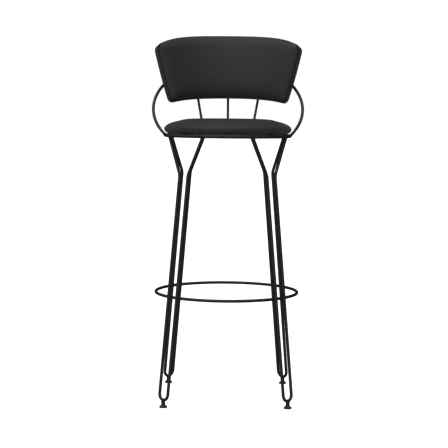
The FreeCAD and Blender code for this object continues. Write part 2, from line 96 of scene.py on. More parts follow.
# ------------------------------------------------------------------ finishes
class ShaderBench:
    """One material's node tree, with short ways to add the nodes that the finishes share."""

    def __init__(self, name: str) -> None:
        """Starts a material that holds a Principled shader.

        Args:
            name: The material's name.
        """
        self.material = bpy.data.materials.new(name)
        self.material.use_nodes = True
        self.tree = self.material.node_tree
        self.shader = self.tree.nodes["Principled BSDF"]
        self.place = self.add("ShaderNodeTexCoord").outputs["Object"]

    def add(self, kind: str, **settings: object) -> bpy.types.Node:
        """Adds a node.

        Args:
            kind: Blender's name for the type of node.
            **settings: Properties to set on it.

        Returns:
            The new node.
        """
        node = self.tree.nodes.new(kind)
        for key, value in settings.items():
            setattr(node, key, value)
        return node

    def link(self, source: bpy.types.NodeSocket, target: bpy.types.NodeSocket) -> None:
        """Joins an output to an input."""
        self.tree.links.new(source, target)

    def stretched(self, scale: Sequence[float]) -> bpy.types.NodeSocket:
        """Gives the object's coordinates, scaled by a different amount along each axis."""
        mapping = self.add("ShaderNodeMapping")
        mapping.inputs["Scale"].default_value = scale
        self.link(self.place, mapping.inputs["Vector"])
        return mapping.outputs["Vector"]

    def noise(self, size: float, detail: float = 3.0, place: Optional[bpy.types.NodeSocket] = None
              ) -> bpy.types.NodeSocket:
        """Adds cloudy noise.

        Args:
            size: Width of its blotches, in metres.
            detail: How many finer layers it holds.
            place: Coordinates to use in place of the object's own.

        Returns:
            The noise, from 0 to 1.
        """
        node = self.add("ShaderNodeTexNoise")
        node.inputs["Scale"].default_value = 1.0 / size
        node.inputs["Detail"].default_value = detail
        self.link(place or self.place, node.inputs["Vector"])
        return node.outputs["Fac"]

    def cells(self, size: float, feature: str, place: Optional[bpy.types.NodeSocket] = None
              ) -> bpy.types.NodeSocket:
        """Adds a pattern of cells.

        Args:
            size: Width of a cell, in metres.
            feature: Blender's name for what is measured in the cells.
            place: Coordinates to use in place of the object's own.

        Returns:
            The distance that the feature measures.
        """
        node = self.add("ShaderNodeTexVoronoi", feature=feature)
        node.inputs["Scale"].default_value = 1.0 / size
        self.link(place or self.place, node.inputs["Vector"])
        return node.outputs["Distance"]

    def spread(self, value: bpy.types.NodeSocket, low: float, high: float,
               start: float = 0.0, end: float = 1.0) -> bpy.types.NodeSocket:
        """Maps a value that runs from start to end onto low to high."""
        node = self.add("ShaderNodeMapRange")
        for key, number in (("From Min", start), ("From Max", end), ("To Min", low),
                            ("To Max", high)):
            node.inputs[key].default_value = number
        self.link(value, node.inputs["Value"])
        return node.outputs["Result"]

    def sum_of(self, first: bpy.types.NodeSocket, second: bpy.types.NodeSocket
               ) -> bpy.types.NodeSocket:
        """Adds two values."""
        node = self.add("ShaderNodeMath", operation="ADD")
        self.link(first, node.inputs[0])
        self.link(second, node.inputs[1])
        return node.outputs["Value"]

    def colours(self, value: bpy.types.NodeSocket, dark: Colour, light: Colour,
                start: float = 0.3, end: float = 0.7) -> None:
        """Runs the base colour from dark to light as a value goes from start to end."""
        ramp = self.add("ShaderNodeValToRGB")
        for element, place, colour in zip(ramp.color_ramp.elements, (start, end), (dark, light)):
            element.position = place
            element.color = (*colour, 1.0)
        self.link(value, ramp.inputs["Fac"])
        self.link(ramp.outputs["Color"], self.shader.inputs["Base Color"])

    def bump(self, height: bpy.types.NodeSocket, depth: float) -> None:
        """Raises the surface by a height, over any bump that is there already.

        Args:
            height: The height, from 0 to 1.
            depth: What a height of 1 stands for, in metres.
        """
        node = self.add("ShaderNodeBump")
        node.inputs["Strength"].default_value = 1.0
        node.inputs["Distance"].default_value = depth
        self.link(height, node.inputs["Height"])
        below = self.shader.inputs["Normal"].links
        if below:
            self.link(below[0].from_socket, node.inputs["Normal"])
        self.link(node.outputs["Normal"], self.shader.inputs["Normal"])

    def fixed(self, **values: object) -> None:
        """Sets shader inputs that are the same all over, by name with underscores for spaces."""
        for key, value in values.items():
            self.shader.inputs[key.replace("_", " ")].default_value = value

    def roughness(self, value: bpy.types.NodeSocket, low: float, high: float) -> None:
        """Varies the roughness with a value from 0 to 1."""
        self.link(self.spread(value, low, high, 0.25, 0.75), self.shader.inputs["Roughness"])


@dataclass(frozen=True)
class Leather:
    """Soft pebbled upholstery leather."""

    name: str
    dark: Colour
    light: Colour
    smooth: float = 0.44
    rough: float = 0.6
    pebble: float = 0.0012
    pebble_depth: float = 0.00010

    def make(self) -> bpy.types.Material:
        """Makes the material: pebbles, pores, faint creases, a soft bloom and painted shade
        darkening the pebbles' valleys.
        """
        bench = ShaderBench(self.name)
        warp = bench.stretched((1.0, 1.12, 0.94))
        pebbles = bench.cells(self.pebble, "SMOOTH_F1", warp)
        shaded_valleys = bench.cells(self.pebble * 1.7, "DISTANCE_TO_EDGE", warp)
        pores = bench.noise(self.pebble * 0.35, 2.0)
        tone = bench.noise(0.045, 4.0)
        # Base colour: random tone plus painted shade, darker towards the pebbles' cell edges where
        # the grain's valleys lie.
        bench.colours(bench.sum_of(bench.spread(tone, 0.1, 0.6),
                                   bench.spread(shaded_valleys, 0.0, 0.35, 0.0, 0.5)),
                      self.dark, self.light)
        bench.roughness(bench.sum_of(bench.spread(pores, 0.0, 0.5), bench.spread(tone, 0.0, 0.5)),
                        self.smooth, self.rough)
        bench.bump(bench.noise(0.03, 2.0), 0.0006)
        bench.bump(pebbles, -self.pebble_depth)
        bench.bump(bench.spread(shaded_valleys, 0.0, 1.0, 0.0, 0.12), self.pebble_depth * 0.8)
        bench.bump(pores, self.pebble_depth * 0.2)
        bench.fixed(Specular_IOR_Level=0.34, Sheen_Weight=0.05, Sheen_Roughness=0.5)
        return bench.material


@dataclass(frozen=True)
class PowderCoat:
    """Satin powder coat with a little orange peel."""

    name: str
    dark: Colour
    light: Colour
    smooth: float = 0.3
    rough: float = 0.42
    peel: float = 0.0016
    peel_depth: float = 0.00003

    def make(self) -> bpy.types.Material:
        """Makes the material: orange peel, fine grit and slow changes in gloss."""
        bench = ShaderBench(self.name)
        grit = bench.noise(0.0004, 2.0)
        bench.colours(bench.noise(0.02, 3.0), self.dark, self.light)
        bench.roughness(bench.noise(0.012, 4.0), self.smooth, self.rough)
        bench.bump(bench.noise(self.peel, 1.0), self.peel_depth)
        bench.bump(grit, self.peel_depth * 0.3)
        bench.fixed(Specular_IOR_Level=0.5)
        return bench.material


@dataclass(frozen=True)
class MouldedPlastic:
    """Black nylon with a fine moulded texture."""

    name: str
    dark: Colour
    light: Colour

    def make(self) -> bpy.types.Material:
        """Makes the material: spark-eroded grain and scuffed patches."""
        bench = ShaderBench(self.name)
        grain = bench.cells(0.0005, "F1")
        bench.colours(bench.noise(0.004, 4.0), self.dark, self.light)
        bench.roughness(bench.noise(0.003, 3.0), 0.5, 0.68)
        bench.bump(grain, 0.00004)
        return bench.material


@dataclass(frozen=True)
class ZincSteel:
    """Bright zinc plate over turned steel."""

    name: str
    dark: Colour
    light: Colour

    def make(self) -> bpy.types.Material:
        """Makes the material: turning marks round the axis and a cloudy plating."""
        bench = ShaderBench(self.name)
        rings = bench.noise(0.0015, 3.0, bench.stretched((0.15, 0.15, 8.0)))
        bench.colours(bench.noise(0.003, 4.0), self.dark, self.light)
        bench.roughness(rings, 0.24, 0.42)
        bench.bump(rings, 0.00002)
        bench.fixed(Metallic=1.0)
        return bench.material


@dataclass(frozen=True)
class Plywood:
    """Birch plywood with its plies showing at the edge."""

    name: str
    dark: Colour
    light: Colour
    ply: float = 0.0016

    def make(self) -> bpy.types.Material:
        """Makes the material: long grain, broken by the plies."""
        bench = ShaderBench(self.name)
        grain = bench.noise(0.004, 5.0, bench.stretched((0.08, 1.0, 0.3)))
        plies = bench.noise(self.ply, 0.0, bench.stretched((0.01, 0.01, 1.0)))
        bench.colours(bench.sum_of(bench.spread(grain, 0.0, 0.6), bench.spread(plies, 0.0, 0.4)),
                      self.dark, self.light)
        bench.roughness(grain, 0.55, 0.75)
        bench.bump(grain, 0.0001)
        return bench.material


@dataclass(frozen=True)
class FeltCloth:
    """Thin bonded cloth, made of short pressed fibres."""

    name: str
    dark: Colour
    light: Colour

    def make(self) -> bpy.types.Material:
        """Makes the material: crossed fibres under a grid of bonding points."""
        bench = ShaderBench(self.name)
        along = bench.noise(0.0006, 3.0, bench.stretched((0.2, 1.6, 1.0)))
        across = bench.noise(0.0006, 3.0, bench.stretched((1.6, 0.2, 1.0)))
        fibres = bench.spread(bench.sum_of(along, across), 0.0, 1.0, 0.6, 1.4)
        bonds = bench.cells(0.0018, "F1")
        bench.colours(fibres, self.dark, self.light)
        bench.bump(fibres, 0.0001)
        bench.bump(bonds, 0.00006)
        bench.roughness(fibres, 0.8, 0.95)
        bench.fixed(Sheen_Weight=0.2)
        return bench.material


@dataclass(frozen=True)
class StudioFloor:
    """Pale seamless paper with a glow of its own, which burns out to white."""

    name: str
    dark: Colour
    light: Colour
    glow: float = 1.0

    def make(self) -> bpy.types.Material:
        """Makes the material: very faint mottling and a soft sheen."""
        bench = ShaderBench(self.name)
        bench.colours(bench.noise(0.4, 2.0), self.dark, self.light)
        bench.roughness(bench.noise(0.02, 3.0), 0.3, 0.4)
        bench.fixed(Specular_IOR_Level=0.3, Emission_Color=(1.0, 1.0, 1.0, 1.0),
                    Emission_Strength=self.glow)
        return bench.material


BLACK_LEATHER = Leather("black_leather", (0.010, 0.010, 0.011), (0.016, 0.016, 0.017))
WELT_LEATHER = Leather("welt_leather", (0.008, 0.008, 0.009), (0.013, 0.013, 0.014),
                       smooth=0.36, rough=0.5, pebble=0.0008)
BLACK_PAINT = PowderCoat("black_powder_coat", (0.005, 0.005, 0.005), (0.008, 0.008, 0.008))
BLACK_NYLON = MouldedPlastic("black_nylon", (0.010, 0.010, 0.010), (0.016, 0.016, 0.016))
BRIGHT_ZINC = ZincSteel("zinc_plate", (0.45, 0.45, 0.47), (0.62, 0.62, 0.64))
BIRCH_PLY = Plywood("birch_plywood", (0.36, 0.22, 0.11), (0.60, 0.43, 0.26))
DUST_FELT = FeltCloth("dust_cloth", (0.010, 0.010, 0.010), (0.028, 0.028, 0.028))
PALE_PAPER = StudioFloor("pale_paper", (0.86, 0.86, 0.86), (0.90, 0.90, 0.90))


class Finishes:
    """Every finish on the stool, made once and handed out by slot."""

    def __init__(self) -> None:
        """Makes the materials."""
        leather = BLACK_LEATHER.make()
        self.by_slot: dict[Slot, bpy.types.Material] = {
            Slot.PAINT: BLACK_PAINT.make(),
            Slot.LEATHER: leather,
            Slot.WELT: WELT_LEATHER.make(),
            Slot.FOAM: leather,
            Slot.PLYWOOD: BIRCH_PLY.make(),
            Slot.CLOTH: DUST_FELT.make(),
            Slot.PLASTIC: BLACK_NYLON.make(),
            Slot.ZINC: BRIGHT_ZINC.make(),
        }

    def dress(self, piece: bpy.types.Object, slot: Slot) -> None:
        """Gives a piece the finish of a slot."""
        piece.data.materials.clear()
        piece.data.materials.append(self.by_slot[slot])

    def dress_frame(self, packed: dict) -> None:
        """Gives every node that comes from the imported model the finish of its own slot.
        """
        for row in packed["record"]["subparts"]:
            node = packed["nodes"].get(row["node"])
            if node is not None:
                self.dress(node, Slot(row["material_slot"]))


# ------------------------------------------------------------------ mesh helpers
class Draft:
    """Vertices and faces gathered for one mesh."""

    def __init__(self) -> None:
        """Starts with nothing."""
        self.points: list[Vector] = []
        self.faces: Faces = []

    def add(self, points: Iterable[Vector], faces: Faces) -> None:
        """Adds a part, with its faces counted from its own first point."""
        first = len(self.points)
        self.points.extend(points)
        self.faces.extend(tuple(first + i for i in face) for face in faces)

    def tube(self, path: Sequence[Vector], radius: Callable[[int], float], sides: int,
             closed: bool) -> None:
        """Adds a round tube.

        Args:
            path: The points of its centre line.
            radius: The radius at a point's number.
            sides: Faces round the tube.
            closed: Whether the tube runs back into its start; if not, its ends are capped.
        """
        count = len(path)
        rings: list[Vector] = []
        normal: Optional[Vector] = None
        for i, point in enumerate(path):
            before = path[i - 1] if closed or i else path[i]
            after = path[(i + 1) % count] if closed or i < count - 1 else path[i]
            along = (after - before).normalized()
            if normal is None:
                normal = along.orthogonal()
            normal = (normal - along * normal.dot(along)).normalized()
            side = along.cross(normal)
            size = radius(i)
            for k in range(sides):
                turn = 2 * math.pi * k / sides
                rings.append(point + (normal * math.cos(turn) + side * math.sin(turn)) * size)
        faces = [(i * sides + k, i * sides + (k + 1) % sides,
                  (i + 1) % count * sides + (k + 1) % sides, (i + 1) % count * sides + k)
                 for i in range(count if closed else count - 1) for k in range(sides)]
        if not closed:
            faces.append(tuple(reversed(range(sides))))
            faces.append(tuple(range((count - 1) * sides, count * sides)))
        self.add(rings, faces)

    def build(self, name: str) -> bpy.types.Object:
        """Makes the object, smooth shaded, welded and facing outwards.

        Args:
            name: The piece's name.

        Returns:
            The new object.
        """
        mesh = bpy.data.meshes.new(name)
        mesh.from_pydata(self.points, [], self.faces)
        work = bmesh.new()
        work.from_mesh(mesh)
        bmesh.ops.remove_doubles(work, verts=work.verts, dist=1e-6)
        bmesh.ops.recalc_face_normals(work, faces=work.faces)
        work.to_mesh(mesh)
        work.free()
        mesh.shade_smooth()
        piece = bpy.data.objects.new(name, mesh)
        bpy.context.scene.collection.objects.link(piece)
        return piece


def grid_faces(across: int, upright: int) -> Faces:
    """The cells of a grid whose points are numbered row by row."""
    side = across + 1
    return [(j * side + i, j * side + i + 1, (j + 1) * side + i + 1, (j + 1) * side + i)
            for j in range(upright) for i in range(across)]


def coordinates(mesh: bpy.types.Mesh) -> np.ndarray:
    """Gives a mesh's vertices as rows of x, y and z."""
    flat = np.zeros(len(mesh.vertices) * 3, np.float32)
    mesh.vertices.foreach_get("co", flat)
    return flat.reshape(-1, 3).astype(float)


def set_coordinates(mesh: bpy.types.Mesh, places: np.ndarray) -> None:
    """Moves a mesh's vertices to new places."""
    mesh.vertices.foreach_set("co", places.astype(np.float32).ravel())
    mesh.update()


def apply_modifiers(piece: bpy.types.Object) -> None:
    """Turns a piece's modifiers into its mesh."""
    graph = bpy.context.evaluated_depsgraph_get()
    final = bpy.data.meshes.new_from_object(piece.evaluated_get(graph))
    piece.modifiers.clear()
    piece.data = final
    final.shade_smooth()


def subdivide(piece: bpy.types.Object, levels: int = 1) -> None:
    """Rounds a piece's mesh by subdivision."""
    modifier = piece.modifiers.new("round", "SUBSURF")
    modifier.levels = modifier.render_levels = levels
    apply_modifiers(piece)


@dataclass(frozen=True)
class Stuffing:
    """How a cover is swelled over its padding by a short run of cloth simulation."""

    pressure: float = 4.0
    slack: float = 0.01
    frames: int = 20
    most: float = 0.004
    sag: float = 0.0003
    stiffness: float = 15.0
    quality: int = 5

    def swell(self, piece: bpy.types.Object, held: Callable[[Vector], float]) -> None:
        """Runs the cloth on a closed cover and keeps the outward part of each point's move.

        Args:
            piece: The cover.
            held: How firmly a point of the cover is held, from 0, free, to 1, fast.
        """
        rest = coordinates(piece.data)
        group = piece.vertex_groups.new(name="held")
        for vertex in piece.data.vertices:
            group.add([vertex.index], held(vertex.co), "REPLACE")
        cloth = piece.modifiers.new("cloth", "CLOTH")
        settings = cloth.settings
        settings.quality = self.quality
        settings.effector_weights.gravity = 0.0
        settings.use_pressure = True
        settings.uniform_pressure_force = self.pressure
        settings.shrink_min = -self.slack
        settings.tension_stiffness = settings.compression_stiffness = self.stiffness
        settings.vertex_group_mass = group.name
        cloth.point_cache.frame_end = self.frames
        scene = bpy.context.scene
        for number in range(1, self.frames + 1):
            scene.frame_set(number)
        graph = bpy.context.evaluated_depsgraph_get()
        moved = coordinates(piece.evaluated_get(graph).data) - rest
        piece.modifiers.clear()
        piece.vertex_groups.clear()
        scene.frame_set(1)
        outward = np.array([vertex.normal for vertex in piece.data.vertices])
        swell = np.sum(moved * outward, axis=1, keepdims=True)
        log.info("%s swelled by %.1f mm at most, %.1f mm on average", piece.name,
                 1000 * swell.max(), 1000 * swell.mean())
        set_coordinates(piece.data, rest + outward * np.clip(swell, -self.sag, self.most))


# ------------------------------------------------------------------ where the stool stands
@dataclass(frozen=True)
class SeatPlace:
    """The seat's upright axis and its ring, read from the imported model."""

    axis_y: float
    ring_radius: float
    ring_rod: float
    ring_z: float

    @classmethod
    def from_frame(cls) -> "SeatPlace":
        """Measures the seat ring."""
        low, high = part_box("seat_ring")
        rod = (high.z - low.z) / 2
        return cls((low.y + high.y) / 2, (high.x - low.x) / 2 - rod, rod, (low.z + high.z) / 2)

    def polar(self, radius: float, angle: float, z: float) -> Vector:
        """A point at a radius and an angle in degrees about the seat's axis."""
        turn = math.radians(angle)
        return Vector((radius * math.cos(turn), self.axis_y + radius * math.sin(turn), z))

    def direction(self, angle: float) -> Vector:
        """The level direction at an angle in degrees."""
        return self.polar(1, angle, 0) - self.polar(0, 0, 0)


# ------------------------------------------------------------------ seat cushion
@dataclass
class SeatCushion:
    """The round seat: a leather cover pulled over foam and folded under its board."""

    place: SeatPlace
    edge_rise: float = 0.0125
    undercut: float = 0.013
    crown_power: float = 4.3
    cells: int = 32
    square_share: float = 0.6
    shrink: float = 0.0008
    gathers: int = 88
    gather_depth: float = 0.0003
    hem_radius: float = 0.1366
    hem_step: float = 0.0025
    hem_gap: float = 0.0003
    hem_cells: int = 4
    hem_pleat: float = 0.0002
    stuffing: Stuffing = Stuffing(pressure=4.0, slack=0.012, most=0.0018)

    def __post_init__(self) -> None:
        """Reads the cushion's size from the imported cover."""
        low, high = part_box("seat_cover")
        self.radius = (high.x - low.x) / 2
        self.low = low.z
        self.top = high.z

    def meridian(self) -> list[tuple[float, float]]:
        """The outline from the crown down to the turned-under edge, in even steps.

        Returns:
            Pairs of radius and height.
        """
        wide_z = self.low + self.edge_rise
        crown = self.top - wide_z
        dense = []
        for i in range(401):
            share = math.sin(math.pi / 2 * i / 400)
            rise = max(0.0, 1 - share ** self.crown_power) ** 0.5
            dense.append((share * self.radius, wide_z + crown * rise))
        for i in range(1, 101):
            turn = math.pi / 2 * i / 100
            dense.append((self.radius - self.undercut * (1 - math.cos(turn)),
                          wide_z - self.edge_rise * math.sin(turn)))
        table = np.array(dense)
        steps = np.r_[0, np.cumsum(np.hypot(*np.diff(table, axis=0).T))]
        even = np.linspace(0, steps[-1], self.cells + 1)
        return list(zip(np.interp(even, steps, table[:, 0]), np.interp(even, steps, table[:, 1])))

    def disc(self, rings: Sequence[tuple[float, float]]) -> tuple[list[Vector], Faces]:
        """A square grid of cells pulled into a disc, with no pole at its centre.

        Args:
            rings: Radius and height of each ring of cells, from the centre outwards.

        Returns:
            The disc's points and faces.
        """
        count = len(rings) - 1
        radii = [radius for radius, _ in rings]
        heights = [height for _, height in rings]
        inner = int(np.argmax(radii)) + 1
        points = []
        for j in range(-count, count + 1):
            for i in range(-count, count + 1):
                ring = max(abs(i), abs(j))
                if not ring:
                    points.append(Vector((0.0, self.place.axis_y, heights[0])))
                    continue
                u, v = (math.tan(math.pi / 4 * k / ring) for k in (i, j))
                share = min(1.0, ring / (self.square_share * count))
                reach = radii[ring] * ((1 - share) + share / math.hypot(u, v))
                z = heights[ring]
                if share < 1.0:
                    z = float(np.interp(reach * math.hypot(u, v), radii[:inner], heights[:inner]))
                points.append(Vector((reach * u, self.place.axis_y + reach * v, z)))
        return points, grid_faces(2 * count, 2 * count)

    def form(self) -> bpy.types.Object:
        """Builds the closed cushion a little smaller than its final size."""
        upper = self.meridian()
        step = self.cells - self.hem_cells - 1
        under = [(self.hem_radius * k / step, self.low + self.hem_step) for k in range(step + 1)]
        width = upper[-1][0] - self.hem_radius - self.hem_gap
        under += [(self.hem_radius + self.hem_gap + width * k / self.hem_cells, self.low)
                  for k in range(self.hem_cells + 1)]
        draft = Draft()
        draft.add(*self.disc(upper))
        draft.add(*self.disc(under))
        cushion = draft.build("seat_cushion")
        places = coordinates(cushion.data)
        middle = np.array([0.0, self.place.axis_y, self.low])
        size = (self.radius - self.shrink) / self.radius
        lift = (self.top - self.low - self.shrink) / (self.top - self.low)
        set_coordinates(cushion.data, middle + (places - middle) * [size, size, lift])
        return cushion

    def held(self, point: Vector) -> float:
        """Holds the underside fast and lets go over the rounded edge."""
        if point.z < self.low + 0.003 and math.hypot(point.x, point.y - self.place.axis_y) \
                < self.radius - self.undercut:
            return 1.0
        return 1.0 - min(1.0, max(0.0, (point.z - self.low - 0.001) / (0.7 * self.edge_rise)))

    def gather(self, cushion: bpy.types.Object) -> None:
        """Puts small uneven gathers where the cover is pulled under the board."""
        places = coordinates(cushion.data)
        x, y = places[:, 0], places[:, 1] - self.place.axis_y
        turn = np.arctan2(y, x)
        reach = np.hypot(x, y)
        wave = np.sin(self.gathers * turn + 1.7 * np.sin(5 * turn)) + 0.5 * np.sin(
            0.37 * self.gathers * turn + 2.0 * np.sin(3 * turn))
        low_share = np.clip((self.low + 0.9 * self.edge_rise - places[:, 2]) / self.edge_rise, 0, 1)
        edge_share = np.clip((reach - 0.75 * self.radius) / (0.2 * self.radius), 0, 1)
        push = self.gather_depth * wave * low_share * edge_share
        places[:, 0] += push * np.cos(turn)
        places[:, 1] += push * np.sin(turn)
        hem = (places[:, 2] < self.low + 0.001) & (reach > self.hem_radius)
        places[hem, 2] += self.hem_pleat * (1.5 + wave[hem])
        set_coordinates(cushion.data, places)

    def build(self, finishes: Finishes) -> bpy.types.Object:
        """Builds, swells and dresses the cushion.

        Args:
            finishes: The stool's finishes.

        Returns:
            The cushion.
        """
        cushion = self.form()
        self.stuffing.swell(cushion, self.held)
        subdivide(cushion)
        self.gather(cushion)
        finishes.dress(cushion, Slot.LEATHER)
        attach(cushion, FRAME_BODY)
        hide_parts("seat_cover", "seat_foam")
        return cushion


@dataclass
class SeatUnderside:
    """The cloth stretched under the seat's board, and the staples that hold its edge."""

    place: SeatPlace
    thickness: float = 0.0011
    rings: int = 24
    sectors: int = 96
    staples: int = 24
    staple_length: float = 0.010
    staple_wire: float = 0.0003
    staple_inset: float = 0.004
    staple_leg: float = 0.0008
    slack: float = 0.00012
    pucker: float = 0.00022
    pucker_reach: float = 0.3

    def __post_init__(self) -> None:
        """Reads the cloth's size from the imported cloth."""
        low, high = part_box("seat_dust_cover")
        self.radius = (high.x - low.x) / 2
        self.low = low.z

    def sag(self, share: float, turn: float) -> float:
        """How far the cloth's underside hangs from tight, with a pucker at each staple.

        Args:
            share: Distance from the centre, as a share of the radius.
            turn: Angle about the seat's axis, in radians.

        Returns:
            The rise of the underside above its lowest place, in metres.
        """
        pucker = 0.5 + 0.5 * math.cos(self.staples * (turn - math.pi / self.staples))
        slow = 0.5 + 0.5 * math.sin(3 * turn + 4 * share)
        outer = max(0.0, share - (1 - self.pucker_reach))
        return (self.slack * slow * (1 - share)
                + self.pucker * pucker * outer / self.pucker_reach)

    def cloth(self, finishes: Finishes) -> bpy.types.Object:
        """Builds the cloth as a thin closed disc."""
        draft = Draft()
        count = self.sectors
        for low_side in (True, False):
            lift = 0.0 if low_side else self.thickness
            points = [Vector((0.0, self.place.axis_y, self.low + lift))]
            for ring in range(1, self.rings + 1):
                share = ring / self.rings
                for k in range(count):
                    turn = 2 * math.pi * k / count
                    rise = self.sag(share, turn) + lift
                    points.append(self.place.polar(share * self.radius, math.degrees(turn),
                                                   self.low + rise))
            faces = [(0, 1 + k, 1 + (k + 1) % count) for k in range(count)]
            faces += [(1 + (r - 1) * count + k, 1 + r * count + k, 1 + r * count + (k + 1) % count,
                       1 + (r - 1) * count + (k + 1) % count)
                      for r in range(1, self.rings) for k in range(count)]
            draft.add(points, faces)
        half = 1 + self.rings * count
        rim = half - count
        for k in range(count):
            low, far = rim + k, rim + (k + 1) % count
            draft.faces.append((low, far, half + far, half + low))
        sheet = draft.build("seat_dust_cloth")
        finishes.dress(sheet, Slot.CLOTH)
        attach(sheet, FRAME_BODY)
        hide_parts("seat_dust_cover")
        return sheet

    def staple_row(self, finishes: Finishes) -> bpy.types.Object:
        """Builds the staples round the cloth's edge, each with its crown along the edge."""
        draft = Draft()
        radius = self.radius - self.staple_inset
        half = math.degrees(self.staple_length / 2 / radius)
        height = self.low - self.staple_wire * 0.5
        for k in range(self.staples):
            angle = (k + 0.5) * 360 / self.staples
            low = [self.place.polar(radius, angle + share * half, height)
                   for share in (-1, -0.5, 0, 0.5, 1)]
            leg = UP * self.staple_leg
            path = [low[0] + leg, *low, low[-1] + leg]
            draft.tube(path, lambda i: self.staple_wire, 6, False)
        row = draft.build("seat_staples")
        finishes.dress(row, Slot.ZINC)
        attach(row, FRAME_BODY)
        return row

    def build(self, finishes: Finishes) -> list[bpy.types.Object]:
        """Builds the cloth and its staples.

        Args:
            finishes: The stool's finishes.

        Returns:
            The pieces.
        """
        return [self.cloth(finishes), self.staple_row(finishes)]


# ------------------------------------------------------------------ backrest
class Edge(Enum):
    """The four sides of the backrest's outline, in the order that they are walked."""

    TOP = 0
    RIGHT = 1
    BOTTOM = 2
    LEFT = 3


@dataclass
class BackrestShape:
    """The backrest's outline and curve, in its own axes, and where they stand on the stool.

    The outline lies in a flat plane in front of the middle of the rear face.  Each point of
    it stands for a line towards the axis of the rear face's curve, along which depth is
    measured forwards from the rear face.
    """

    rear_radius: float = 0.32072
    recline: float = 21.0
    top_half: float = 0.2095
    bottom_half: float = 0.166
    top_rise: float = 0.0655
    bottom_drop: float = 0.1155
    top_arch: float = 0.060
    bottom_arch: float = 0.035
    top_corner: float = 0.016
    bottom_corner: float = 0.014
    blend: float = 3.0

    def __post_init__(self) -> None:
        """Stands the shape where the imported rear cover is."""
        lean = math.radians(self.recline)
        self.up = Vector((0.0, math.sin(lean), math.cos(lean)))
        self.front = Vector((0.0, -math.cos(lean), math.sin(lean)))
        self.plane = self.rear_radius - self.sag(self.top_half)
        self.origin = Vector((0.0, 0.0, 0.0))
        self.rim = self.outline()
        walk = [self.at(x, y, 0.0) for x, y in self.rim]
        low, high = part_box("backrest_rear_cover")
        self.origin = Vector((0.0, high.y - max(p.y for p in walk), low.z - min(p.z for p in walk)))

    def sag(self, x: float) -> float:
        """How far forward the rear face has curved at x to the side."""
        return self.rear_radius - math.sqrt(self.rear_radius ** 2 - x ** 2)

    def at(self, x: float, y: float, depth: float) -> Vector:
        """Finds a place on the stool.

        Args:
            x: Across, in the plane of the outline.
            y: Up the slope of the backrest.
            depth: Forwards from the rear face, square to its curve.

        Returns:
            The place in the stool's own frame.
        """
        turn = math.atan2(x, self.plane)
        reach = self.rear_radius - depth
        forward = self.rear_radius - reach * math.cos(turn)
        return self.origin + Vector((reach * math.sin(turn), 0, 0)) + self.up * y + \
            self.front * forward

    def corner_points(self) -> list[Vector]:
        """The outline's sharp corners: top left, top right, bottom right, bottom left."""
        low_x = self.bottom_half * self.plane / (self.rear_radius - self.sag(self.bottom_half))
        top_y = self.top_rise - self.top_arch
        low_y = -self.bottom_drop - self.bottom_arch
        return [Vector((-self.top_half, top_y)), Vector((self.top_half, top_y)),
                Vector((low_x, low_y)), Vector((-low_x, low_y))]

    def side(self, edge: Edge, count: int) -> list[Vector]:
        """One side of the outline before its corners are rounded.

        Args:
            edge: Which side.
            count: How many steps it takes.

        Returns:
            Its points, from corner to corner.
        """
        corners = self.corner_points()
        start, end = corners[edge.value], corners[(edge.value + 1) % 4]
        arch = {Edge.TOP: self.top_arch, Edge.BOTTOM: self.bottom_arch}.get(edge, 0.0)
        half = (end - start).length / 2
        points = []
        for i in range(count + 1):
            share = i / count
            point = start.lerp(end, share)
            if arch:
                radius = (half ** 2 + arch ** 2) / (2 * arch)
                across = half * (2 * share - 1)
                point.y += math.sqrt(radius ** 2 - across ** 2) - (radius - arch)
            points.append(point)
        return points

    def outline(self) -> np.ndarray:
        """The whole outline, closed, with rounded corners, clockwise from the top left."""
        sides = [self.side(edge, 400) for edge in Edge]
        radii = [self.top_corner, self.top_corner, self.bottom_corner, self.bottom_corner]
        walk: list[Vector] = []
        for k, points in enumerate(sides):
            before = sides[k - 1]
            come = (before[-1] - before[-9]).normalized()
            leave = (points[8] - points[0]).normalized()
            turn = come.angle(leave)
            setback = radii[k] * math.tan(turn / 2)
            after = sides[(k + 1) % 4]
            next_turn = (points[-1] - points[-9]).angle(after[8] - after[0])
            next_setback = radii[(k + 1) % 4] * math.tan(next_turn / 2)
            start = points[0] - come * setback
            handle = 4 / 3 * math.tan(turn / 4) / math.tan(turn / 2) * setback
            kept = [p for p in points if (p - points[0]).length > setback
                    and (p - points[-1]).length > next_setback]
            end = kept[0]
            for i in range(24):
                t = i / 24
                walk.append(start * (1 - t) ** 3 + (start + come * handle) * 3 * t * (1 - t) ** 2
                            + (end - leave * handle) * 3 * t ** 2 * (1 - t) + end * t ** 3)
            walk.extend(kept)
        return np.array([(p.x, p.y) for p in walk])

    def offset(self, inset: float) -> np.ndarray:
        """The outline moved inwards by an inset, or outwards if it is negative."""
        ahead = np.roll(self.rim, -1, axis=0) - np.roll(self.rim, 1, axis=0)
        ahead /= np.linalg.norm(ahead, axis=1, keepdims=True)
        inward = np.c_[ahead[:, 1], -ahead[:, 0]]
        return self.rim + inward * inset

    def walk(self, inset: float, count: int) -> np.ndarray:
        """Evenly spaced points round the outline at an inset, from the middle of the bottom.

        Args:
            inset: How far inside the outline.
            count: How many points.

        Returns:
            The points, one to a row.
        """
        points = self.offset(inset)
        lowest = np.argmin(np.abs(points[:, 0]) + 10.0 * (points[:, 1] > 0))
        points = np.roll(points, -lowest, axis=0)
        closed = np.r_[points, points[:1]]
        steps = np.r_[0, np.cumsum(np.linalg.norm(np.diff(closed, axis=0), axis=1))]
        even = np.linspace(0, steps[-1], count, endpoint=False)
        return np.c_[np.interp(even, steps, closed[:, 0]), np.interp(even, steps, closed[:, 1])]

    def depth_inside(self, points: np.ndarray) -> np.ndarray:
        """How far inside the outline each point is, rounded off where two sides compete."""
        total = np.zeros(len(points))
        for edge in Edge:
            line = np.array([(p.x, p.y) for p in self.side(edge, 120)])
            gaps = np.linalg.norm(points[:, None, :] - line[None, :, :], axis=2).min(axis=1)
            total += np.maximum(gaps, 1e-5) ** -self.blend
        return total ** (-1 / self.blend)


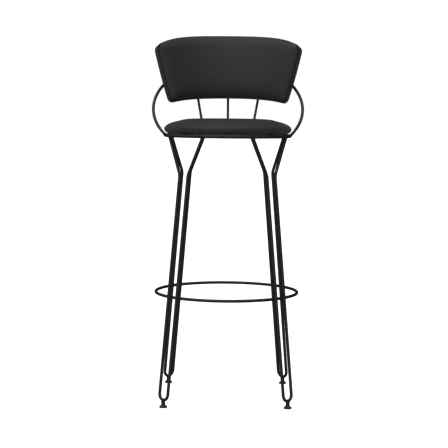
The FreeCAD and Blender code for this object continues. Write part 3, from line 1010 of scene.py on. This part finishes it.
@dataclass
class PanelGrid:
    """A grid of cells that fills the backrest's outline at an inset, corner to corner."""

    shape: BackrestShape
    inset: float
    across: int = 72
    upright: int = 36
    crowding: float = 0.5

    def spaced(self, count: int) -> np.ndarray:
        """Shares from 0 to 1, closer together towards both ends."""
        even = np.linspace(0, 1, count + 1)
        return (1 - self.crowding) * even + self.crowding * (1 - np.cos(math.pi * even)) / 2

    def sides(self) -> list[np.ndarray]:
        """The grid's four sides: top and bottom from left to right, left and right upwards."""
        rim = self.shape.offset(self.inset)
        x, y = rim[:, 0], rim[:, 1]
        middle = self.shape.corner_points()
        cuts = [int(np.argmin(np.hypot(x - c.x, y - c.y))) for c in middle]
        found = []
        for first, last, count in ((0, 1, self.across), (3, 2, self.across),
                                   (3, 0, self.upright), (2, 1, self.upright)):
            start, end = cuts[first], cuts[last]
            forward = (end - start) % len(rim)
            backward = (start - end) % len(rim)
            steps = range(forward + 1) if forward < backward else range(0, -backward - 1, -1)
            line = np.array([rim[(start + k) % len(rim)] for k in steps])
            run = np.r_[0, np.cumsum(np.linalg.norm(np.diff(line, axis=0), axis=1))]
            even = self.spaced(count) * run[-1]
            found.append(np.c_[np.interp(even, run, line[:, 0]), np.interp(even, run, line[:, 1])])
        return found

    def points(self) -> np.ndarray:
        """The grid's points, row by row from the bottom, each from left to right."""
        top, bottom, left, right = self.sides()
        u = self.spaced(self.across)[None, :, None]
        v = self.spaced(self.upright)[:, None, None]
        corners = (bottom[0] * (1 - u) * (1 - v) + bottom[-1] * u * (1 - v)
                   + top[0] * (1 - u) * v + top[-1] * u * v)
        filled = (bottom[None] * (1 - v) + top[None] * v
                  + left[:, None] * (1 - u) + right[:, None] * u - corners)
        return filled.reshape(-1, 2)

    def rim_indices(self) -> list[int]:
        """The numbers of the grid's outer points, once round."""
        side = self.across + 1
        last = self.upright * side
        return ([i for i in range(side)] + [side * (j + 1) + side - 1 for j in range(self.upright)]
                + [last + i for i in range(side - 2, -1, -1)]
                + [side * j for j in range(self.upright - 1, 0, -1)])


@dataclass
class Backrest:
    """The padded backrest: a crowned front cover, a rear cover with its border, and a welt."""

    shape: BackrestShape
    seam: float = 0.0172
    front_roll: float = 0.030
    front_rise: float = 0.0115
    broad_crown: float = 0.0065
    crown_share: float = 0.42
    rear_round: float = 0.0032
    border_swell: float = 0.0006
    welt_radius: float = 0.0019
    welt_outset: float = 0.0004
    welt_stitches: int = 256
    welt_joint: int = 10
    welt_pinch: float = 0.03
    welt_overlap: float = 0.10
    stuffing: Stuffing = Stuffing(pressure=4.0, slack=0.012, most=0.004)

    def layered(self, name: str, layers: Sequence[tuple[float, float]],
                first_face: Callable[[np.ndarray], np.ndarray],
                last_face: Callable[[np.ndarray], np.ndarray]) -> bpy.types.Object:
        """Builds a closed form from two filled faces joined by loops round the edge.

        Args:
            name: The piece's name.
            layers: Inset and depth of each loop, from the rear to the front.
            first_face: Depth of the rear face's points.
            last_face: Depth of the front face's points.

        Returns:
            The new piece.
        """
        draft = Draft()
        loops = []
        for (inset, _), depth_of in ((layers[0], first_face), (layers[-1], last_face)):
            grid = PanelGrid(self.shape, inset)
            points = grid.points()
            depths = depth_of(points)
            draft.add([self.shape.at(x, y, d) for (x, y), d in zip(points, depths)],
                      grid_faces(grid.across, grid.upright))
        for inset, depth in layers:
            grid = PanelGrid(self.shape, inset)
            points = grid.points()[grid.rim_indices()]
            loops.append([self.shape.at(x, y, depth) for x, y in points])
        count = len(loops[0])
        walls = [(j * count + i, j * count + (i + 1) % count, (j + 1) * count + (i + 1) % count,
                  (j + 1) * count + i) for j in range(len(loops) - 1) for i in range(count)]
        draft.add([p for loop in loops for p in loop], walls)
        return draft.build(name)

    def front_depth(self, points: np.ndarray) -> np.ndarray:
        """Depth of the padded front: a quick roll at its edge under a broad low crown."""
        inside = self.shape.depth_inside(points)
        roll = np.clip(inside / self.front_roll, 0, 1)
        height = self.shape.top_rise + self.shape.bottom_drop
        broad = np.clip(inside / (self.crown_share * height), 0, 1)
        return (self.seam + self.front_rise * np.sqrt(1 - (1 - roll) ** 2)
                + self.broad_crown * (1 - (1 - broad) ** 2))

    def front_panel(self, finishes: Finishes) -> bpy.types.Object:
        """Builds the padded front cover."""
        seam = self.seam + 0.0002
        panel = self.layered("backrest_front_panel", [(0.0012, seam), (0.0012, seam + 1e-5)],
                             lambda p: np.full(len(p), seam), lambda p: self.front_depth(p) + 1e-5)
        self.stuffing.swell(panel, self.held_at_seam)
        subdivide(panel)
        finishes.dress(panel, Slot.LEATHER)
        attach(panel, FRAME_BODY)
        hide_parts("backrest_front_cover", "backrest_foam")
        return panel

    def held_at_seam(self, point: Vector) -> float:
        """Holds the seam and all that lies behind it fast."""
        own = point - self.shape.origin
        forward = own.dot(self.shape.front)
        reach = math.hypot(own.x, self.shape.rear_radius - forward)
        depth = self.shape.rear_radius - reach
        return 1.0 if depth < self.seam + 0.0015 else 0.0

    def rear_panel(self, finishes: Finishes) -> bpy.types.Object:
        """Builds the rear cover with the border that wraps round the board's edge."""
        bend = self.rear_round
        layers = [(bend * (1 - math.sin(t)), bend * (1 - math.cos(t)))
                  for t in (math.pi / 2 * k / 4 for k in range(5))]
        for k in range(1, 7):
            share = k / 7
            depth = bend + (self.seam - bend) * share
            layers.append((-self.border_swell * math.sin(math.pi * share), depth))
        layers.append((0.0006, self.seam))
        panel = self.layered("backrest_rear_panel", layers, lambda p: np.zeros(len(p)),
                             lambda p: np.full(len(p), self.seam))
        subdivide(panel)
        finishes.dress(panel, Slot.LEATHER)
        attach(panel, FRAME_BODY)
        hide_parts("backrest_rear_cover")
        return panel

    def welt(self, finishes: Finishes) -> bpy.types.Object:
        """Builds the piped welt, pinched slightly at each stitch, with its joint at the bottom."""
        per_stitch = 6
        around = self.shape.walk(-self.welt_outset, self.welt_stitches * per_stitch)
        path = [self.shape.at(x, y, self.seam) for x, y in around]
        joint = self.welt_joint * per_stitch
        count = len(path)

        def radius(i: int) -> float:
            """The welt's radius at a point of its path."""
            pinch = self.welt_pinch * math.cos(2 * math.pi * i / per_stitch)
            overlap = self.welt_overlap if min(i, count - i) < joint else 0.0
            return self.welt_radius * (1 - pinch + overlap)

        draft = Draft()
        draft.tube(path, radius, 12, True)
        piping = draft.build("backrest_piping")
        finishes.dress(piping, Slot.WELT)
        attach(piping, FRAME_BODY)
        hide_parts("backrest_welt")
        return piping

    def build(self, finishes: Finishes) -> list[bpy.types.Object]:
        """Builds all three covers.

        Args:
            finishes: The stool's finishes.

        Returns:
            The pieces.
        """
        return [self.front_panel(finishes), self.rear_panel(finishes), self.welt(finishes)]


# ------------------------------------------------------------------ welds
@dataclass
class Welds:
    """Small rippled beads where the rods are welded together, coated with the frame."""

    seat: SeatPlace
    rod: float = 0.00425
    spindle_rod: float = 0.0035
    top_spread: float = 22.5
    rod_spacing: float = 0.031
    neck_inset: float = 0.006
    neck_drop: float = 0.1015
    spindle_spread: float = 22.5
    spindle_outset: float = 0.006
    spindle_top_spacing: float = 0.101
    arm_bulge: float = 0.038
    arm_tilt: float = 39.5
    contact_reach: float = 0.0034
    bead: float = 0.0009
    ripple: float = 0.18

    def __post_init__(self) -> None:
        """Works out where the arm loop stands from the seat ring that it is welded to."""
        self.draft = Draft()
        self.loop_radius = self.seat.ring_radius + self.arm_bulge
        self.loop_middle = math.sqrt(self.loop_radius ** 2 - self.seat.ring_radius ** 2)

    def bead_along(self, path: Sequence[Vector]) -> None:
        """Lays a closed bead along a path, rippled from one point to the next."""
        self.draft.tube(path, lambda i: self.bead * (1 + self.ripple * math.cos(math.pi * i)), 8,
                        True)

    def round_end(self, centre: Vector, axis: Vector, along: Vector, radius: float,
                  run: float) -> None:
        """Lays a bead round the end of a rod that stands on the side of another.

        Args:
            centre: Where their centre lines meet.
            axis: The first rod's direction, away from the second.
            along: The second rod's direction.
            radius: The first rod's radius.
            run: The second rod's radius.
        """
        axis, along = axis.normalized(), along.normalized()
        side = axis.orthogonal().normalized()
        other = axis.cross(side)
        lean = axis.dot(along)
        path = []
        for i in range(40):
            turn = 2 * math.pi * i / 40
            out = (side * math.cos(turn) + other * math.sin(turn)) * radius
            skew = out.dot(along)
            square = max(0.0, (skew * lean) ** 2
                         - (1 - lean ** 2) * (radius ** 2 - skew ** 2 - run ** 2))
            rise = (skew * lean + math.sqrt(square)) / (1 - lean ** 2)
            path.append(centre + out + axis * rise)
        self.bead_along(path)

    def round_contact(self, contact: Vector, first: Vector, second: Vector) -> None:
        """Lays a bead round the point where two crossing rods touch.

        Args:
            contact: Where they touch.
            first: Direction of the rod that lies inside.
            second: Direction of the rod that lies outside.
        """
        first = first.normalized()
        outward = first.cross(second).normalized()
        across = outward.cross(first)
        path = []
        for i in range(32):
            turn = 2 * math.pi * i / 32
            x, y = self.contact_reach * math.cos(turn), self.contact_reach * math.sin(turn)
            lift = outward * ((x * x - y * y) / (4 * self.rod))
            path.append(contact + first * x + across * y + lift)
        self.bead_along(path)

    def loop_point(self, angle: float) -> Vector:
        """A point on the arm loop's centre line, from 0 at one side to 90 at the rear."""
        turn, tilt = math.radians(angle), math.radians(self.arm_tilt)
        along = self.loop_middle + self.loop_radius * math.sin(turn)
        return Vector((self.loop_radius * math.cos(turn), self.seat.axis_y + along * math.cos(tilt),
                       self.seat.ring_z + along * math.sin(tilt)))

    def legs(self) -> None:
        """Welds each leg's two rods to the seat ring, and the foot ring to both of them."""
        low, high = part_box("foot_ring")
        ring_radius, ring_z = (high.x - low.x) / 2 - self.rod, (high.z + low.z) / 2
        neck_radius = self.seat.ring_radius - self.neck_inset
        for corner, angle in CORNERS.items():
            outward = self.seat.direction(angle)
            along = UP.cross(outward)
            foot_low, foot_high = (Vector(c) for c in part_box(f"{corner}_foot_boss"))
            foot = (foot_low + foot_high) / 2
            for sign in (-1, 1):
                top_angle = angle + sign * self.top_spread
                top = self.seat.polar(self.seat.ring_radius, top_angle, self.seat.ring_z)
                neck = self.seat.polar(0, 0, self.seat.ring_z - self.neck_drop) \
                    + outward * neck_radius + along * (sign * self.rod_spacing / 2)
                self.round_end(top, neck - top, self.seat.direction(top_angle + 90), self.rod,
                               self.seat.ring_rod)
                touch = angle + sign * math.degrees(math.asin(self.rod_spacing / 2
                                                              / (ring_radius + 2 * self.rod)))
                contact = self.seat.polar(ring_radius + self.rod, touch, ring_z)
                rod_run = neck - (foot + along * (sign * self.rod_spacing / 2))
                self.round_contact(contact, self.seat.direction(touch + 90), rod_run)

    def arms_and_spindles(self) -> None:
        """Welds the arms' ends and the spindles to the seat ring, and the spindles to the rail."""
        end = -math.degrees(math.asin(self.loop_middle / self.loop_radius))
        for start, step in ((end, 4.0), (180 - end, -4.0)):
            foot = self.loop_point(start)
            self.round_end(foot, self.loop_point(start + step) - foot, Vector((0, 1, 0)),
                           self.rod, self.seat.ring_rod)
        for side in (-1, 0, 1):
            angle = 90 - side * self.spindle_spread
            foot = self.seat.polar(self.seat.ring_radius + self.spindle_outset, angle,
                                   self.seat.ring_z)
            rail = math.degrees(math.acos(side * self.spindle_top_spacing / self.loop_radius))
            top = self.loop_point(rail)
            ring_run = self.seat.direction(angle + 90)
            rail_run = self.loop_point(rail + 2) - self.loop_point(rail - 2)
            self.round_end(foot, top - foot, ring_run, self.spindle_rod, self.seat.ring_rod)
            self.round_end(top, foot - top, rail_run, self.spindle_rod, self.rod)

    def build(self, finishes: Finishes) -> bpy.types.Object:
        """Builds and dresses all the beads as one piece.

        Args:
            finishes: The stool's finishes.

        Returns:
            The beads.
        """
        self.legs()
        self.arms_and_spindles()
        beads = self.draft.build("weld_beads")
        finishes.dress(beads, Slot.PAINT)
        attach(beads, FRAME_BODY)
        return beads


# ------------------------------------------------------------------ studio
@dataclass
class Studio:
    """A pale floor, a surround that only the camera sees, a soft sky, a sun and the camera."""

    seat: SeatPlace
    lens: float = 107.63
    camera_offset: Vector = Vector((-0.0030, -3.596, 0.768))
    pitch: float = 4.78
    yaw: float = -0.08
    roll: float = 0.5
    floor_reach: float = 60.0
    dome_radius: float = 59.0
    dome_glow: float = 1.05
    sky_middle: Vector = Vector((-0.25, -0.55, 0.8))
    sky_edge: float = 0.35
    sky_dim: float = 0.035
    sky_strength: float = 0.62
    sun_energy: float = 1.1
    sun_width: float = 60.0

    def floor(self) -> bpy.types.Object:
        """Lays a wide square floor."""
        draft = Draft()
        draft.add([Vector((x * self.floor_reach, y * self.floor_reach, 0))
                   for x, y in ((-1, -1), (1, -1), (1, 1), (-1, 1))], [(0, 1, 2, 3)])
        sheet = draft.build("studio_floor")
        sheet.data.materials.append(PALE_PAPER.make())
        sheet.visible_glossy = False
        return sheet

    def surround(self) -> bpy.types.Object:
        """Stands a white dome round the set, which lights nothing and shows in no reflection."""
        mesh = bpy.data.meshes.new("studio_surround")
        work = bmesh.new()
        bmesh.ops.create_icosphere(work, subdivisions=4, radius=self.dome_radius)
        work.to_mesh(mesh)
        work.free()
        mesh.shade_smooth()
        dome = bpy.data.objects.new("studio_surround", mesh)
        bpy.context.scene.collection.objects.link(dome)
        for ray in ("diffuse", "glossy", "transmission", "volume_scatter", "shadow"):
            setattr(dome, "visible_" + ray, False)
        material = bpy.data.materials.new("white_surround")
        material.use_nodes = True
        shader = material.node_tree.nodes["Principled BSDF"]
        shader.inputs["Base Color"].default_value = (0, 0, 0, 1)
        shader.inputs["Emission Color"].default_value = (1, 1, 1, 1)
        shader.inputs["Emission Strength"].default_value = self.dome_glow
        mesh.materials.append(material)
        return dome

    def sky(self) -> None:
        """Fills in from all round: soft overhead and in front, dim behind and below."""
        world = bpy.data.worlds.new("studio_light")
        bpy.context.scene.world = world
        world.use_nodes = True
        nodes, links = world.node_tree.nodes, world.node_tree.links
        place = nodes.new("ShaderNodeTexCoord")
        lobe = nodes.new("ShaderNodeVectorMath")
        lobe.operation = "DOT_PRODUCT"
        lobe.inputs[1].default_value = self.sky_middle.normalized()
        links.new(place.outputs["Generated"], lobe.inputs[0])
        ramp = nodes.new("ShaderNodeValToRGB")
        ramp.color_ramp.elements[0].position = self.sky_edge
        ramp.color_ramp.elements[0].color = (*[self.sky_dim] * 3, 1)
        ramp.color_ramp.elements[1].position = 1.0
        ramp.color_ramp.elements[1].color = (1, 1, 1, 1)
        shift = nodes.new("ShaderNodeMapRange")
        shift.inputs["From Min"].default_value = -1.0
        links.new(lobe.outputs["Value"], shift.inputs["Value"])
        links.new(shift.outputs["Result"], ramp.inputs["Fac"])
        links.new(ramp.outputs["Color"], nodes["Background"].inputs["Color"])
        nodes["Background"].inputs["Strength"].default_value = self.sky_strength

    def sun(self) -> None:
        """Lights the whole floor evenly from above with a very wide sun."""
        light = bpy.data.lights.new("overhead", "SUN")
        light.energy = self.sun_energy
        light.angle = math.radians(self.sun_width)
        lamp = bpy.data.objects.new("overhead", light)
        bpy.context.scene.collection.objects.link(lamp)
        lamp.rotation_euler = (math.radians(12), math.radians(-8), 0)

    def camera(self) -> None:
        """Stands the camera in front, a little above the seat."""
        data = bpy.data.cameras.new("camera")
        data.lens = self.lens
        data.sensor_width = 36.0
        data.clip_end = 200.0
        camera = bpy.data.objects.new("camera", data)
        bpy.context.scene.collection.objects.link(camera)
        pitch, yaw, roll = (math.radians(a) for a in (self.pitch, self.yaw, self.roll))
        ahead = Vector((math.sin(yaw) * math.cos(pitch), math.cos(yaw) * math.cos(pitch),
                        -math.sin(pitch)))
        right = Vector((math.cos(yaw), -math.sin(yaw), 0))
        above = right.cross(ahead)
        turned = right * math.cos(roll) + above * math.sin(roll)
        above = above * math.cos(roll) - right * math.sin(roll)
        place = self.camera_offset + Vector((0, self.seat.axis_y, 0))
        rows = Matrix((turned, above, -ahead)).transposed().to_4x4()
        camera.matrix_world = Matrix.Translation(place) @ rows
        bpy.context.scene.camera = camera

    def build(self) -> None:
        """Sets up everything that isn't the stool."""
        for part in (self.floor, self.surround, self.sky, self.sun, self.camera):
            part()
        bpy.context.scene.view_settings.view_transform = "Standard"


def main() -> None:
    """Builds the stool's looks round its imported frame."""
    logging.basicConfig(level=logging.INFO, format="%(name)s: %(message)s", stream=sys.stdout)
    seat = SeatPlace.from_frame()
    finishes = Finishes()
    finishes.dress_frame(frame)
    log.info("frame dressed, %d nodes", len(frame["nodes"]))
    pieces = [SeatCushion(seat).build(finishes)]
    pieces += SeatUnderside(seat).build(finishes)
    pieces += Backrest(BackrestShape()).build(finishes)
    pieces.append(Welds(seat).build(finishes))
    for piece in pieces:
        log.info("%s has %d faces", piece.name, len(piece.data.polygons))
    Studio(seat).build()


if __name__ == "__main__":
    main()
